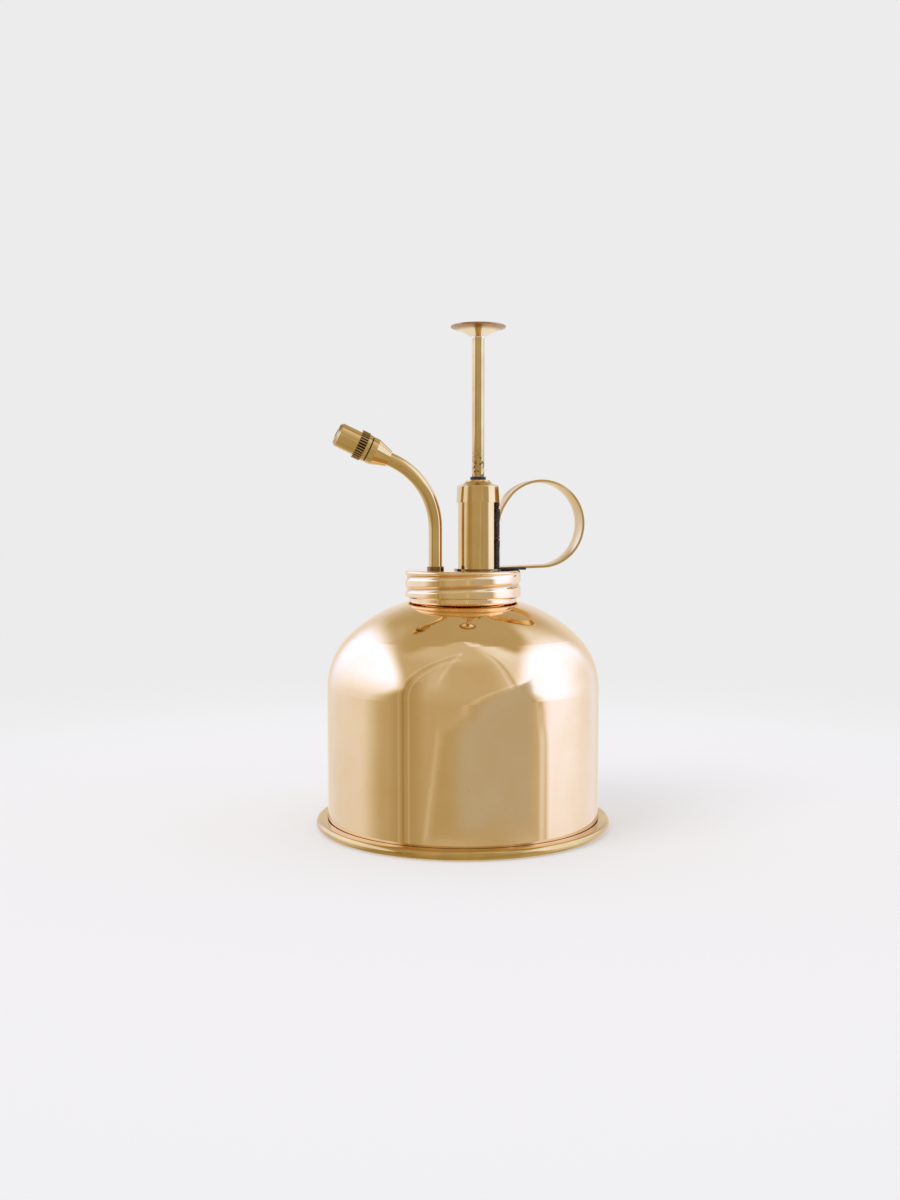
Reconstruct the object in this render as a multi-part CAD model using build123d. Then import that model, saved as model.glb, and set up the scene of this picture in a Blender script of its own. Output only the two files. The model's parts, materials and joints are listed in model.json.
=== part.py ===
from build123d import *

import os
from math import cos, pi, radians, sin, sqrt

# Plant mister in polished brass: a round reservoir, and a screw-on head that carries a plunger
# pump, a finger loop and a bent spout with an adjustable nozzle.
# Millimetres, +Z up, spout towards -X, finger loop towards +X.
# The origin is the middle of the foot, on the table.

# Reservoir
FOOT_R = 51.0
BODY_R = 47.0
SHEET = 1.0
BEAD_H = 3.2
BEAD_INNER_R = 47.3
BEAD_GROOVE = 0.8
PAN_RECESS = 1.4
PAN_RECESS_R = 45.4
SHOULDER_Z = 48.5
SHOULDER_R = 24.5
CROWN_Z = 78.0

# Screw neck
NECK_BORE_R = 15.6
NECK_HOLE_R = 16.4
NECK_FLANGE_R = 18.6
NECK_FLANGE_H = 1.1
NECK_TOP_Z = 86.4
NECK_THREAD_R = 17.4
NECK_THREAD_DEPTH = 0.6
THREAD_PITCH = 4.3

# Cap of the pump head
CAP_R = 20.0
CAP_BOTTOM_Z = 79.5
CAP_TOP_Z = 88.6
CAP_SHEET = 0.9
CAP_ROLL_DEPTH = 0.6
CAP_ROLL_HALF = 1.2
CAP_ROLLS = 2
CAP_HEM_H = 1.15
CAP_HEM_ROUND = 0.4
CAP_EDGE_R = 0.8
VENT_R = 0.6
VENT_Y = 10.5

# Pump barrel and its cap
BARREL_X = 5.3
BARREL_R = 6.9
BARREL_BORE_R = 6.1
BARREL_BOTTOM_Z = 45.0
BARREL_TOP_Z = 115.2
COLLAR_R = 8.3
COLLAR_H = 0.5
BARREL_CAP_R = 7.45
BARREL_CAP_TOP_R = 7.2
BARREL_CAP_SEAM_Z = 111.9
BARREL_CAP_CEILING_Z = 116.3
BARREL_CAP_TOP_Z = 117.9
BARREL_CAP_ROUND = 0.7
BOSS_R = 4.0
BOSS_TOP_Z = 119.6
GLAND_R = 2.7
GLAND_BOTTOM_Z = 117.2
GLAND_TOP_Z = 120.7

# Plunger
ROD_R = 2.15
ROD_CLEARANCE = 0.05
SHANK_R = 1.5
PISTON_R = 6.0
PISTON_TOP_Z = 115.3
PISTON_H = 3.0
SEAL_R = 6.04
SEAL_H = 1.6
WASHER_R = 5.7
WASHER_H = 0.6
NUT_CORNER_R = 3.3
NUT_H = 2.2
SPRING_R = 4.9
SPRING_WIRE_R = 0.4
SPRING_TURNS = 15
KNOB_R = 9.5
KNOB_NECK_R = 2.4
KNOB_NECK_Z = 168.1
KNOB_FLARE = 1.6
KNOB_RIM_Z = 171.6
KNOB_RIM_H = 0.7
KNOB_CROWN = 0.4
KNOB_RIM_ROUND = 0.3
KNOB_SOCKET_Z = 170.8

# Finger loop, a brass strip
STRIP_W = 9.0
STRIP_T = 0.8
LOOP_R = 14.5
LOOP_FOOT_SLOPE = 2.0
LOOP_CENTRE_Z = 104.6
STRIP_PART_ANGLE = 168.0
STRIP_FLAT_ANGLE = 150.0
STRIP_PART_DISH_R = 12.0
STRIP_FLAT_DISH_R = 30.0
LEG_TOP_BELOW_CENTRE = 3.0

# Valve block under the barrel
BLOCK_BOTTOM_Z = 34.0
BLOCK_TOP_Z = 50.0
BLOCK_R = 8.1
ARM_R = 3.4
ARM_BOTTOM_Z = 38.4
ARM_TOP_Z = 51.5
CHANNEL_R = 1.2
CHANNEL_Z = 41.0
INLET_BORE_R = 1.4
INLET_SEAT_Z = 38.5
INLET_CHAMBER_R = 2.7
INLET_BALL_R = 2.0
RETAINER_R = 4.2
RETAINER_Z = 43.6
RETAINER_H = 1.2
RETAINER_HOLE_R = 0.8
RETAINER_HOLES = 5
OUTLET_SEAT_Z = 43.0
OUTLET_CHAMBER_R = 2.1
OUTLET_BALL_R = 1.85
OUTLET_SPRING_R = 1.65
OUTLET_SPRING_WIRE_R = 0.15
OUTLET_SPRING_TURNS = 4
SEAT_GAP = 0.02

# Dip tube and strainer
DIP_R = 2.4
DIP_BORE_R = 1.8
DIP_TOP_Z = 37.0
DIP_BOTTOM_Z = 7.0
STRAINER_R = 3.6
STRAINER_BOTTOM_Z = 5.0
STRAINER_TOP_Z = 12.0
STRAINER_SHEET = 0.5
STRAINER_HOLE_R = 0.5
STRAINER_HOLES = 8

# Spout
SPOUT_X = -9.7
SPOUT_R = 2.35
SPOUT_BORE_R = 1.5
SPOUT_BOTTOM_Z = 48.0
SPOUT_BEND_Z = 103.27
SPOUT_BEND_R = 24.9
SPOUT_TIP = 2.0
FERRULE_R = 2.95
FERRULE_H = 1.3

# Nozzle. Lengths along its axis are counted from the place where the spout enters it.
NOZZLE_ELEVATION = 25.0
NOZZLE_SOCKET = 2.5
CONE_END = 5.3
CONE_SMALL_R = 2.85
NOZZLE_BASE_R = 4.6
NOZZLE_BASE_END = 7.4
SPIGOT_R = 3.4
SPIGOT_END = 15.8
NOZZLE_BORE_R = 1.1
NOZZLE_CAP_START = 7.85
KNURL_START = 9.1
KNURL_END = 11.9
NOZZLE_CAP_END = 19.6
NOZZLE_REAR_R = 4.7
KNURL_R = 5.0
KNURL_DEPTH = 0.35
KNURL_TEETH = 32
NOZZLE_FRONT_R = 4.15
NOZZLE_CHAMFER = 0.95
NOZZLE_CAP_BORE_R = 3.45
NOZZLE_CAP_BORE_END = 17.2
ORIFICE_R = 0.4
ORIFICE_RECESS_R = 1.6
ORIFICE_RECESS = 0.8
ORING_PLACE = 9.8
ORING_R = 0.45
ORING_OUTER_R = 3.42
SWIRL_R = 3.4
SWIRL_START = 16.1
SWIRL_H = 1.05
SWIRL_HOLE_R = 0.5
SWIRL_SLOTS = 3
SWIRL_SLOT_W = 0.6


def turned(*outline):
    """A solid turned about Z from a closed outline of (radius, height) points."""
    return revolve(Plane.XZ * make_face(Polyline(*outline, close=True)), Axis.Z)


def tube(outer_r, inner_r, low, high):
    return turned((inner_r, low), (outer_r, low), (outer_r, high), (inner_r, high))


def post(radius, low, high, x=0.0, y=0.0):
    """A round bar along Z."""
    return Pos(x, y, (low + high) / 2) * Cylinder(radius, high - low)


def bar(radius, start, end):
    """A round bar from one point to another."""
    run = Vector(*end) - Vector(*start)
    return extrude(Plane(origin=start, z_dir=run) * Circle(radius), run.length)


def coil(radius, wire_r, low, high, turns, x):
    """A helical spring along Z whose wire stays between two heights."""
    height = high - low - 2 * wire_r
    path = Helix(height / turns, height, radius)
    wire = sweep(Plane(path @ 0, z_dir=path % 0) * Circle(wire_r), path, is_frenet=True)
    return Pos(x, 0, low + wire_r) * wire


# The crown arc of the dome leaves the shoulder arc at 45 degrees and passes the edge of the neck's
# seat.
shoulder_x = BODY_R - SHOULDER_R
slant = sqrt(0.5)
join_x = shoulder_x + SHOULDER_R * slant
join_z = SHOULDER_Z + SHOULDER_R * slant
seat_dx = NECK_FLANGE_R - join_x
seat_dz = CROWN_Z - join_z
crown_r = -(seat_dx**2 + seat_dz**2) / (2 * slant * (seat_dx + seat_dz))
crown_x = join_x - crown_r * slant
crown_z = join_z - crown_r * slant


def dome_half(inset, low):
    """Half section of the reservoir's outside, moved inwards by inset."""
    shoulder = SHOULDER_R - inset
    crown = crown_r - inset
    top = crown_z + sqrt(crown**2 - (NECK_FLANGE_R - crown_x) ** 2)
    wall = (BODY_R - inset, SHOULDER_Z)
    join = (shoulder_x + shoulder * slant, SHOULDER_Z + shoulder * slant)
    seat = (NECK_FLANGE_R, top)
    outline = (
        Line((BODY_R - inset, low), wall)
        + RadiusArc(wall, join, -shoulder)
        + RadiusArc(join, seat, -crown)
        + Polyline(seat, (0, top), (0, low), (BODY_R - inset, low))
    )
    return revolve(Plane.XZ * make_face(outline), Axis.Z)


def body_shell():
    wall_bottom = BEAD_H - BEAD_GROOVE
    shell = dome_half(0, wall_bottom) - dome_half(SHEET, wall_bottom)
    return shell - post(NECK_HOLE_R, CROWN_Z - 10, CROWN_Z + 10)


def base_pan():
    """Recessed bottom disc, its rim rolled outwards into the bead that the mister stands on."""
    disc_top = BEAD_H - BEAD_GROOVE
    round_r = BEAD_H / 2
    foot = (FOOT_R - round_r, 0)
    bead_top = (FOOT_R - round_r, BEAD_H)
    outline = (
        Polyline((0, disc_top), (0, PAN_RECESS), (PAN_RECESS_R, PAN_RECESS), (PAN_RECESS_R + 1, 0), foot)
        + ThreePointArc(foot, (FOOT_R, round_r), bead_top)
        + Polyline(bead_top, (BEAD_INNER_R, BEAD_H), (BEAD_INNER_R, disc_top), (0, disc_top))
    )
    return revolve(Plane.XZ * make_face(outline), Axis.Z)


def neck_ring():
    """Threaded neck, soldered into the dome. The thread is shown as ridges."""
    seat_inside = crown_z + sqrt((crown_r - SHEET) ** 2 - (NECK_FLANGE_R - crown_x) ** 2)
    flange_top = CROWN_Z + NECK_FLANGE_H
    core_r = NECK_THREAD_R - NECK_THREAD_DEPTH
    ring = tube(NECK_HOLE_R, NECK_BORE_R, seat_inside - SHEET, CROWN_Z)
    ring += tube(NECK_FLANGE_R, NECK_BORE_R, CROWN_Z, flange_top)
    ring += tube(core_r, NECK_BORE_R, flange_top, NECK_TOP_Z)
    ridge_z = flange_top + THREAD_PITCH / 2
    while ridge_z + NECK_THREAD_DEPTH < NECK_TOP_Z:
        ring += turned(
            (core_r - 0.1, ridge_z - NECK_THREAD_DEPTH),
            (NECK_THREAD_R, ridge_z),
            (core_r - 0.1, ridge_z + NECK_THREAD_DEPTH),
        )
        ridge_z += THREAD_PITCH
    return ring


def cap_blank(inset):
    """Outside of the cap with its rolled thread, moved inwards and down by inset."""
    radius = CAP_R - inset
    bottom = CAP_BOTTOM_Z - inset
    blank = post(radius, bottom, CAP_TOP_Z - inset)
    blank = fillet(blank.edges().group_by(Axis.Z)[-1], CAP_EDGE_R - inset / 2)
    for roll in range(CAP_ROLLS):
        middle = CAP_BOTTOM_Z + CAP_HEM_H + (roll + 0.5) * THREAD_PITCH
        blank -= turned(
            (radius + 1, middle - CAP_ROLL_HALF),
            (radius, middle - CAP_ROLL_HALF),
            (radius - CAP_ROLL_DEPTH, middle),
            (radius, middle + CAP_ROLL_HALF),
            (radius + 1, middle + CAP_ROLL_HALF),
        )
    return blank


def pump_cap():
    cap = fillet(cap_blank(0).edges().group_by(Axis.Z)[0], CAP_HEM_ROUND) - cap_blank(CAP_SHEET)
    cap -= post(BARREL_R, CAP_BOTTOM_Z, CAP_TOP_Z + 1, BARREL_X)
    cap -= post(SPOUT_R, CAP_BOTTOM_Z, CAP_TOP_Z + 1, SPOUT_X)
    return cap - post(VENT_R, CAP_BOTTOM_Z, CAP_TOP_Z + 1, 0, VENT_Y)


def cap_gasket():
    top = CAP_TOP_Z - CAP_SHEET
    return tube(CAP_R - CAP_SHEET - CAP_ROLL_DEPTH - 0.5, NECK_BORE_R, NECK_TOP_Z + 0.1, top)


def barrel_collar():
    """Solder collar round the barrel's foot."""
    return Pos(BARREL_X, 0, 0) * tube(COLLAR_R, BARREL_R, CAP_TOP_Z, CAP_TOP_Z + COLLAR_H)


def pump_barrel():
    return Pos(BARREL_X, 0, 0) * tube(BARREL_R, BARREL_BORE_R, BARREL_BOTTOM_Z, BARREL_TOP_Z)


def barrel_cap():
    """Cap over the barrel's top, drawn up to a boss that holds the rod's gland."""
    inside_r = BARREL_R + ROD_CLEARANCE
    guide_r = ROD_R + ROD_CLEARANCE
    side = (BARREL_CAP_TOP_R, BARREL_CAP_TOP_Z - BARREL_CAP_ROUND)
    shoulder = (BARREL_CAP_TOP_R - BARREL_CAP_ROUND, BARREL_CAP_TOP_Z)
    boss = (BOSS_R, BOSS_TOP_Z)
    sweep_r = 2 * (BOSS_TOP_Z - BARREL_CAP_TOP_Z)
    outline = (
        Polyline((inside_r, BARREL_CAP_SEAM_Z), (BARREL_CAP_R, BARREL_CAP_SEAM_Z), side)
        + RadiusArc(side, shoulder, -BARREL_CAP_ROUND)
        + RadiusArc(shoulder, boss, sweep_r)
        + Polyline(
            boss,
            (GLAND_R, BOSS_TOP_Z),
            (GLAND_R, GLAND_BOTTOM_Z),
            (guide_r, GLAND_BOTTOM_Z),
            (guide_r, BARREL_CAP_CEILING_Z),
            (inside_r, BARREL_CAP_CEILING_Z),
            (inside_r, BARREL_CAP_SEAM_Z),
        )
    )
    return Pos(BARREL_X, 0, 0) * revolve(Plane.XZ * make_face(outline), Axis.Z)


def gland_seal():
    return Pos(BARREL_X, 0, 0) * tube(GLAND_R, ROD_R + ROD_CLEARANCE, GLAND_BOTTOM_Z, GLAND_TOP_Z)


def buffer_washer():
    """Leather washer that the piston comes to rest against."""
    return Pos(BARREL_X, 0, 0) * tube(
        BARREL_BORE_R - 0.1, ROD_R + 0.5, PISTON_TOP_Z + 0.05, BARREL_CAP_CEILING_Z
    )


# Plunger stack, counted down from the piston's top
seal_top = PISTON_TOP_Z - PISTON_H
washer_top = seal_top - SEAL_H
nut_top = washer_top - WASHER_H
shank_end = nut_top - NUT_H - 1.0
knob_top = KNOB_RIM_Z + KNOB_RIM_H + KNOB_CROWN


def plunger_rod():
    rod = post(ROD_R, PISTON_TOP_Z, KNOB_SOCKET_Z) + post(SHANK_R, shank_end, PISTON_TOP_Z)
    return Pos(BARREL_X, 0, 0) * rod


def thumb_knob():
    """Domed button with a trumpet-shaped underside and a socket for the rod."""
    rim_top = KNOB_RIM_Z + KNOB_RIM_H
    rim_r = KNOB_R - KNOB_RIM_ROUND
    socket = ((0, KNOB_SOCKET_Z), (ROD_R, KNOB_SOCKET_Z), (ROD_R, KNOB_NECK_Z))
    waist = (KNOB_NECK_R, KNOB_NECK_Z + KNOB_RIM_ROUND)
    button_r = (rim_r**2 + KNOB_CROWN**2) / (2 * KNOB_CROWN)
    outline = (
        Polyline(*socket, (KNOB_NECK_R, KNOB_NECK_Z), waist)
        + ThreePointArc(waist, (KNOB_R * 0.55, KNOB_RIM_Z - KNOB_FLARE), (rim_r, KNOB_RIM_Z))
        + ThreePointArc((rim_r, KNOB_RIM_Z), (KNOB_R, (KNOB_RIM_Z + rim_top) / 2), (rim_r, rim_top))
        + RadiusArc((rim_r, rim_top), (0, knob_top), -button_r)
        + Line((0, knob_top), (0, KNOB_SOCKET_Z))
    )
    return Pos(BARREL_X, 0, 0) * revolve(Plane.XZ * make_face(outline), Axis.Z)


def piston():
    return Pos(BARREL_X, 0, 0) * tube(PISTON_R, SHANK_R, seal_top, PISTON_TOP_Z)


def piston_seal():
    return Pos(BARREL_X, 0, 0) * tube(SEAL_R, SHANK_R, washer_top, seal_top)


def piston_washer():
    return Pos(BARREL_X, 0, 0) * tube(WASHER_R, SHANK_R, nut_top, washer_top)


def piston_nut():
    nut = Pos(0, 0, nut_top - NUT_H) * extrude(RegularPolygon(NUT_CORNER_R, 6), NUT_H)
    return Pos(BARREL_X, 0, 0) * (nut - post(SHANK_R, nut_top - NUT_H - 1, nut_top + 1))


def return_spring():
    low = BARREL_BOTTOM_Z + 0.1
    return coil(SPRING_R, SPRING_WIRE_R, low, nut_top - 0.1, SPRING_TURNS, BARREL_X)


# The finger loop starts up the barrel, goes once round and comes back along the cap.
strip_leg_r = BARREL_R + STRIP_T / 2
loop_x = BARREL_X + strip_leg_r + LOOP_R


def strip_section(angle, dish_r):
    """Cross-section of the strip at an angle of its loop, dished towards the barrel."""
    outwards = Vector(cos(radians(angle)), 0, sin(radians(angle)))
    along = Vector(sin(radians(angle)), 0, -cos(radians(angle)))
    middle = Vector(loop_x, 0, LOOP_CENTRE_Z) + outwards * LOOP_R
    half = STRIP_W / 2 / dish_r
    inner, outer = dish_r - STRIP_T / 2, dish_r + STRIP_T / 2

    def point(radius, share):
        return (radius * cos(share * half) - dish_r, radius * sin(share * half))

    outline = (
        ThreePointArc(point(outer, -1), point(outer, 0), point(outer, 1))
        + Line(point(outer, 1), point(inner, 1))
        + ThreePointArc(point(inner, 1), point(inner, 0), point(inner, -1))
        + Line(point(inner, -1), point(outer, -1))
    )
    return Plane(origin=middle, x_dir=-outwards, z_dir=along) * make_face(outline)


def handle_strap():
    """Finger loop of brass strip: a leg along the barrel, the round loop and a foot on the cap."""
    foot_z = CAP_TOP_Z + COLLAR_H
    leg_top = LOOP_CENTRE_Z - LEG_TOP_BELOW_CENTRE
    seam = Pos(0, 0, -LEG_TOP_BELOW_CENTRE) * strip_section(180, strip_leg_r)
    leg = extrude(seam, leg_top - foot_z, dir=(0, 0, -1))
    parting = loft([
        seam,
        strip_section(STRIP_PART_ANGLE, STRIP_PART_DISH_R),
        strip_section(STRIP_FLAT_ANGLE, STRIP_FLAT_DISH_R),
    ])
    flat = strip_section(STRIP_FLAT_ANGLE, STRIP_FLAT_DISH_R)
    loop_axis = Axis((loop_x, 0, LOOP_CENTRE_Z), (0, 1, 0))
    turn = STRIP_FLAT_ANGLE + 90 - LOOP_FOOT_SLOPE
    loop = revolve(flat, loop_axis, turn)
    foot_length = loop_x - BARREL_X - BARREL_R + 1.5
    foot = extrude(strip_section(LOOP_FOOT_SLOPE - 90, STRIP_FLAT_DISH_R), foot_length)
    foot -= post(BARREL_R, CAP_TOP_Z, LOOP_CENTRE_Z, BARREL_X)
    foot -= post(COLLAR_R, CAP_TOP_Z - 1, foot_z, BARREL_X)
    parting -= post(BARREL_R, foot_z, LOOP_CENTRE_Z + LOOP_R, BARREL_X)
    return leg + parting + loop + foot


def valve_block():
    """Block under the barrel with the inlet valve, and an arm to the spout's outlet valve."""
    block = post(BLOCK_R, BLOCK_BOTTOM_Z, BLOCK_TOP_Z, BARREL_X)
    block += post(ARM_R, ARM_BOTTOM_Z, ARM_TOP_Z, SPOUT_X)
    arm_h = OUTLET_SEAT_Z + 1 - ARM_BOTTOM_Z
    arm = Box(BARREL_X - SPOUT_X, 2 * ARM_R, arm_h)
    block += Pos((BARREL_X + SPOUT_X) / 2, 0, ARM_BOTTOM_Z + arm_h / 2) * arm
    block -= post(BARREL_R, BARREL_BOTTOM_Z, BLOCK_TOP_Z + 1, BARREL_X)
    block -= post(RETAINER_R, RETAINER_Z, BARREL_BOTTOM_Z, BARREL_X)
    block -= post(INLET_CHAMBER_R, INLET_SEAT_Z, RETAINER_Z, BARREL_X)
    block -= post(INLET_BORE_R, BLOCK_BOTTOM_Z, INLET_SEAT_Z, BARREL_X)
    block -= post(DIP_R, BLOCK_BOTTOM_Z - 1, DIP_TOP_Z, BARREL_X)
    block -= bar(CHANNEL_R, (BARREL_X, 0, CHANNEL_Z), (SPOUT_X, 0, CHANNEL_Z))
    block -= post(CHANNEL_R, CHANNEL_Z, OUTLET_SEAT_Z, SPOUT_X)
    block -= post(OUTLET_CHAMBER_R, OUTLET_SEAT_Z, SPOUT_BOTTOM_Z, SPOUT_X)
    return block - post(SPOUT_R, SPOUT_BOTTOM_Z, ARM_TOP_Z + 1, SPOUT_X)


def ball_on_seat(ball_r, bore_r, seat_z, x):
    height = seat_z + sqrt(ball_r**2 - bore_r**2) + SEAT_GAP
    return Pos(x, 0, height) * Sphere(ball_r)


def inlet_ball():
    return ball_on_seat(INLET_BALL_R, INLET_BORE_R, INLET_SEAT_Z, BARREL_X)


def outlet_ball():
    return ball_on_seat(OUTLET_BALL_R, CHANNEL_R, OUTLET_SEAT_Z, SPOUT_X)


def outlet_spring():
    ball_z = OUTLET_SEAT_Z + sqrt(OUTLET_BALL_R**2 - CHANNEL_R**2)
    low = ball_z + sqrt(OUTLET_BALL_R**2 - OUTLET_SPRING_R**2) + 0.1
    high = SPOUT_BOTTOM_Z - 0.02
    return coil(OUTLET_SPRING_R, OUTLET_SPRING_WIRE_R, low, high, OUTLET_SPRING_TURNS, SPOUT_X)


def ball_retainer():
    """Drilled disc that keeps the inlet ball in its chamber."""
    disc = post(RETAINER_R, RETAINER_Z, RETAINER_Z + RETAINER_H)
    holes = PolarLocations(RETAINER_R - 2 * RETAINER_HOLE_R, RETAINER_HOLES)
    disc -= [place * post(RETAINER_HOLE_R, RETAINER_Z - 1, RETAINER_Z + 2) for place in holes]
    return Pos(BARREL_X, 0, 0) * disc


def dip_tube():
    return Pos(BARREL_X, 0, 0) * tube(DIP_R, DIP_BORE_R, DIP_BOTTOM_Z, DIP_TOP_Z)


def strainer():
    """Cup on the foot of the dip tube with a ring of holes."""
    inside_r = STRAINER_R - STRAINER_SHEET
    cup = post(STRAINER_R, STRAINER_BOTTOM_Z, STRAINER_TOP_Z)
    cup -= post(inside_r, STRAINER_BOTTOM_Z + STRAINER_SHEET, STRAINER_TOP_Z - 2 * STRAINER_SHEET)
    cup -= post(DIP_R, STRAINER_TOP_Z - 2, STRAINER_TOP_Z + 1)
    hole_z = STRAINER_BOTTOM_Z + 2
    for place in PolarLocations(0, STRAINER_HOLES):
        cup -= place * bar(STRAINER_HOLE_R, (inside_r - 0.5, 0, hole_z), (STRAINER_R + 0.5, 0, hole_z))
    return Pos(BARREL_X, 0, 0) * cup


# The spout rises straight, then bends towards -X until it points along the nozzle.
bend_turn = 90 - NOZZLE_ELEVATION
nozzle_way = Vector(-cos(radians(NOZZLE_ELEVATION)), 0, sin(radians(NOZZLE_ELEVATION)))
bend_end = Vector(
    SPOUT_X - SPOUT_BEND_R * (1 - cos(radians(bend_turn))),
    0,
    SPOUT_BEND_Z + SPOUT_BEND_R * sin(radians(bend_turn)),
)
nozzle_foot = bend_end + nozzle_way * SPOUT_TIP
nozzle_plane = Plane(origin=nozzle_foot, x_dir=(0, 1, 0), z_dir=nozzle_way)


def spout_tube():
    bend_start = (SPOUT_X, 0, SPOUT_BEND_Z)
    ring = Plane(origin=bend_start, z_dir=(0, 0, 1)) * (Circle(SPOUT_R) - Circle(SPOUT_BORE_R))
    riser = extrude(ring, SPOUT_BEND_Z - SPOUT_BOTTOM_Z, dir=(0, 0, -1))
    bend_axis = Axis((SPOUT_X - SPOUT_BEND_R, 0, SPOUT_BEND_Z), (0, -1, 0))
    bend = revolve(ring, bend_axis, bend_turn)
    end = nozzle_plane * tube(SPOUT_R, SPOUT_BORE_R, -SPOUT_TIP, NOZZLE_SOCKET)
    return riser + bend + end


def spout_ferrule():
    return Pos(SPOUT_X, 0, 0) * tube(FERRULE_R, SPOUT_R, CAP_TOP_Z, CAP_TOP_Z + FERRULE_H)


def nozzle_base():
    """Coned socket brazed to the spout, with the spigot that the nozzle cap screws along."""
    shoulder = (NOZZLE_BASE_R, CONE_END)
    outline = (
        Polyline((SPOUT_R, NOZZLE_SOCKET), (SPOUT_R, 0), (CONE_SMALL_R, 0))
        + ThreePointArc((CONE_SMALL_R, 0), (NOZZLE_BASE_R - 0.9, CONE_END - 2.6), shoulder)
        + Polyline(
            shoulder,
            (NOZZLE_BASE_R, NOZZLE_BASE_END),
            (SPIGOT_R, NOZZLE_BASE_END),
            (SPIGOT_R, SPIGOT_END),
            (NOZZLE_BORE_R, SPIGOT_END),
            (NOZZLE_BORE_R, NOZZLE_SOCKET),
            (SPOUT_R, NOZZLE_SOCKET),
        )
    )
    base = revolve(Plane.XZ * make_face(outline), Axis.Z)
    groove_r = ORING_OUTER_R - 2 * ORING_R - 0.02
    groove = tube(SPIGOT_R + 1, groove_r, ORING_PLACE - 0.6, ORING_PLACE + 0.6)
    return nozzle_plane * (base - groove)


def nozzle_oring():
    return nozzle_plane * Pos(0, 0, ORING_PLACE) * Torus(ORING_OUTER_R - ORING_R, ORING_R)


def swirl_disc():
    """Slotted disc that spins the water in front of the orifice."""
    disc = post(SWIRL_R, SWIRL_START, SWIRL_START + SWIRL_H)
    disc -= post(SWIRL_HOLE_R, SWIRL_START - 1, SWIRL_START + 2)
    for place in PolarLocations(SWIRL_R - 0.6, SWIRL_SLOTS):
        disc -= place * Pos(0, 0, SWIRL_START + SWIRL_H / 2) * Box(1.4, SWIRL_SLOT_W, 2 * SWIRL_H)
    return nozzle_plane * disc


def knurled_ring():
    """A short bar whose rim is cut into straight teeth."""
    points = []
    for tooth in range(KNURL_TEETH):
        for part, radius in ((0.0, KNURL_R - KNURL_DEPTH), (0.3, KNURL_R), (0.7, KNURL_R)):
            angle = 2 * pi * (tooth + part) / KNURL_TEETH
            points.append((radius * cos(angle), radius * sin(angle)))
    outline = make_face(Polyline(*points, close=True))
    return Pos(0, 0, KNURL_START) * extrude(outline, KNURL_END - KNURL_START)


def nozzle_cap():
    """Adjusting cap: a knurled ring, a plain front and the spray orifice."""
    cap = post(NOZZLE_REAR_R, NOZZLE_CAP_START, KNURL_START)
    cap += knurled_ring()
    cap += turned(
        (0, KNURL_END),
        (NOZZLE_FRONT_R, KNURL_END),
        (NOZZLE_FRONT_R, NOZZLE_CAP_END - NOZZLE_CHAMFER),
        (NOZZLE_FRONT_R - NOZZLE_CHAMFER, NOZZLE_CAP_END),
        (0, NOZZLE_CAP_END),
    )
    cap -= post(NOZZLE_CAP_BORE_R, NOZZLE_CAP_START - 1, NOZZLE_CAP_BORE_END)
    cap -= post(ORIFICE_R, NOZZLE_CAP_START, NOZZLE_CAP_END + 1)
    cap -= post(ORIFICE_RECESS_R, NOZZLE_CAP_END - ORIFICE_RECESS, NOZZLE_CAP_END + 1)
    return nozzle_plane * cap


PARTS = (
    body_shell,
    base_pan,
    neck_ring,
    cap_gasket,
    pump_cap,
    barrel_collar,
    pump_barrel,
    barrel_cap,
    gland_seal,
    buffer_washer,
    handle_strap,
    spout_tube,
    spout_ferrule,
    nozzle_base,
    nozzle_oring,
    swirl_disc,
    nozzle_cap,
    valve_block,
    ball_retainer,
    inlet_ball,
    outlet_ball,
    outlet_spring,
    dip_tube,
    strainer,
    return_spring,
    plunger_rod,
    thumb_knob,
    piston,
    piston_seal,
    piston_washer,
    piston_nut,
)

os.makedirs("parts", exist_ok=True)
for make in PARTS:
    export_step(make(), f"parts/{make.__name__}.step")
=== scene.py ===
import json
from math import atan2, cos, pi, radians, sin

import bpy
from mathutils import Matrix, Vector


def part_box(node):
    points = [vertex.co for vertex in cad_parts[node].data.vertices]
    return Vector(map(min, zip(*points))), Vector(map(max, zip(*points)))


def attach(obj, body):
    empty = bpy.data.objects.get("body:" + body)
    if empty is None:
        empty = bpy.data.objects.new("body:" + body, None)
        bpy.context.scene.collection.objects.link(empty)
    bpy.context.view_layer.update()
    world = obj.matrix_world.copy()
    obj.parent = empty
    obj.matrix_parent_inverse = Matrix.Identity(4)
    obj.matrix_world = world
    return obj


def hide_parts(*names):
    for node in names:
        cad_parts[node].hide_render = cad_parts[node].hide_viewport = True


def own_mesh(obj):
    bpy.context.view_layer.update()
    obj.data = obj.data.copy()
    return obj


# Polished brass plant mister on a pale table. Metres, +Z up, spout towards -X.
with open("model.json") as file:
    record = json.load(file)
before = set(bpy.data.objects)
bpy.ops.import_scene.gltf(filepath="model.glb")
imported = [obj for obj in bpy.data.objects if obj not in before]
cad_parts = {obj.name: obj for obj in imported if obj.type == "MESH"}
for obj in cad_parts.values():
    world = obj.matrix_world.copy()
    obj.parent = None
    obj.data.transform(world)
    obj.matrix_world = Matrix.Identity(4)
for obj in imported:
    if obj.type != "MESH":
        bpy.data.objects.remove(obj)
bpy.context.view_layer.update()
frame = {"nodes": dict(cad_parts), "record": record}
nodes = frame["nodes"]
record = frame["record"]
joints = {joint["name"]: joint for joint in record["behaviour"]["joints"]}
scene = bpy.context.scene

# Camera: where it stands, seen from the reservoir's axis, and what it aims at
CAMERA_AZIMUTH = radians(-12)
CAMERA_DISTANCE = 0.429
CAMERA_HEIGHT = 0.1045
CAMERA_AIM_HEIGHT = 0.0782
CAMERA_AIM_LEFT = 0.0045
CAMERA_LENS = 37.2

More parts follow.
